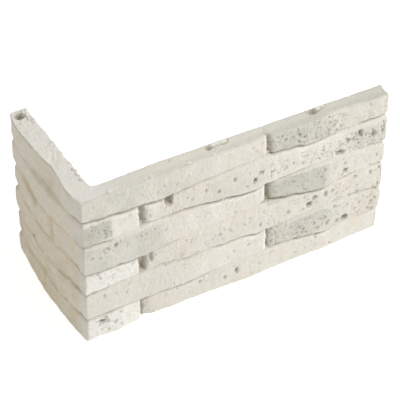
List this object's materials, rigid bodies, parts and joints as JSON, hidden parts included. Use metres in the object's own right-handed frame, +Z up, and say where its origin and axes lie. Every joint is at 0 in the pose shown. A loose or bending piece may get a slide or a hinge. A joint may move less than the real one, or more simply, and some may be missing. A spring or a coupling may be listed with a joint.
{
  "type": "stone cladding corner piece",
  "caption": "L-shaped corner casting of wall cladding: its front copies courses of split stone with staggered joints, and its flat back wraps an outside wall corner.",
  "frame": {"origin": "the foot of the inner corner, where the flat backs of the two legs and the base meet", "axes": "+X along the long leg away from the corner, +Y along the short leg away from the corner, +Z up across the courses; the stones face -Y and -X"},
  "size_m": [0.2044, 0.0951, 0.1015],
  "materials": {
    "cast_stone": "matt, off-white casting with fine pores and stains in the joints"
  },
  "bodies": {
    "root": {"cast_corner": "cast_stone"}
  },
  "joints": []
}
